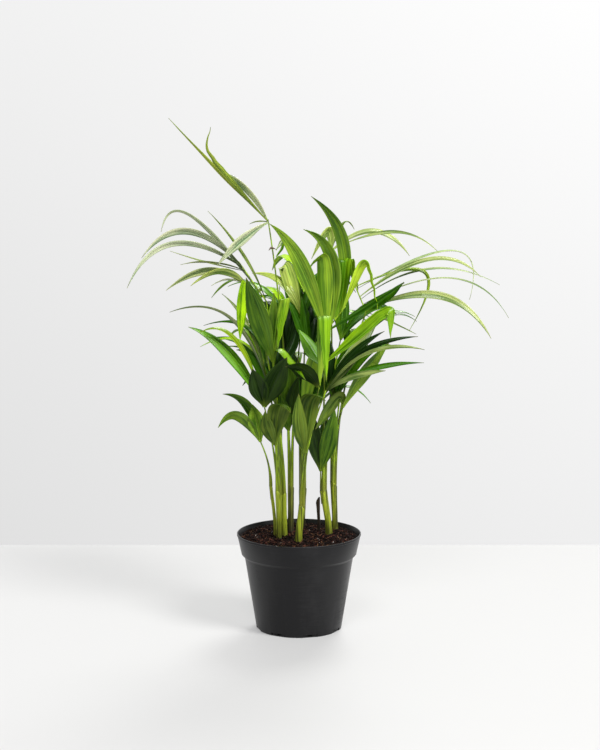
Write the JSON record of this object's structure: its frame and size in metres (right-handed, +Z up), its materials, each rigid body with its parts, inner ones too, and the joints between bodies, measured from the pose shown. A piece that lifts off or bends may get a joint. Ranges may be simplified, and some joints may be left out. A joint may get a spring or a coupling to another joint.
{
  "type": "potted areca palm",
  "caption": "Young areca palm with clustered upright stems and arching feather fronds of narrow leaflets, in a round tapered nursery pot.",
  "frame": {"origin": "centre of the pot's flat underside", "axes": "+Z up; -Y towards the viewer of the picture, +X to that viewer's right"},
  "size_m": [0.3578, 0.2106, 0.493],
  "materials": {
    "pot": "black moulded plastic with a satin face, faint scuffs",
    "soil": "moist dark potting mix with bark, fibres and white grains",
    "stem": "olive-green rolled sheaths, smooth with fine lengthwise lines",
    "dry": "dry dark brown sheath, matt",
    "leaf": "fresh green leaflets with lengthwise pleats, satin"
  },
  "bodies": {
    "root": {"dry_sheath": "dry", "frond_01": "leaf", "frond_02": "leaf", "frond_03": "leaf", "frond_04": "leaf", "frond_05": "leaf", "frond_06": "leaf", "frond_07": "leaf", "frond_08": "leaf", "frond_09": "leaf", "frond_10": "leaf", "frond_11": "leaf", "frond_12": "leaf", "frond_13": "leaf", "frond_14": "leaf", "frond_15": "leaf", "frond_16": "leaf", "frond_17": "leaf", "frond_18": "leaf", "frond_19": "leaf", "frond_20": "leaf", "frond_21": "leaf", "frond_22": "leaf", "frond_23": "leaf", "frond_24": "leaf", "frond_25": "leaf", "frond_26": "leaf", "frond_27": "leaf", "frond_28": "leaf", "frond_29": "leaf", "frond_30": "leaf", "frond_31": "leaf", "frond_32": "leaf", "pot": "pot", "soil": "soil", "stem_1": "stem", "stem_10": "stem", "stem_2": "stem", "stem_3": "stem", "stem_4": "stem", "stem_5": "stem", "stem_6": "stem", "stem_7": "stem", "stem_8": "stem", "stem_9": "stem"}
  },
  "joints": []
}
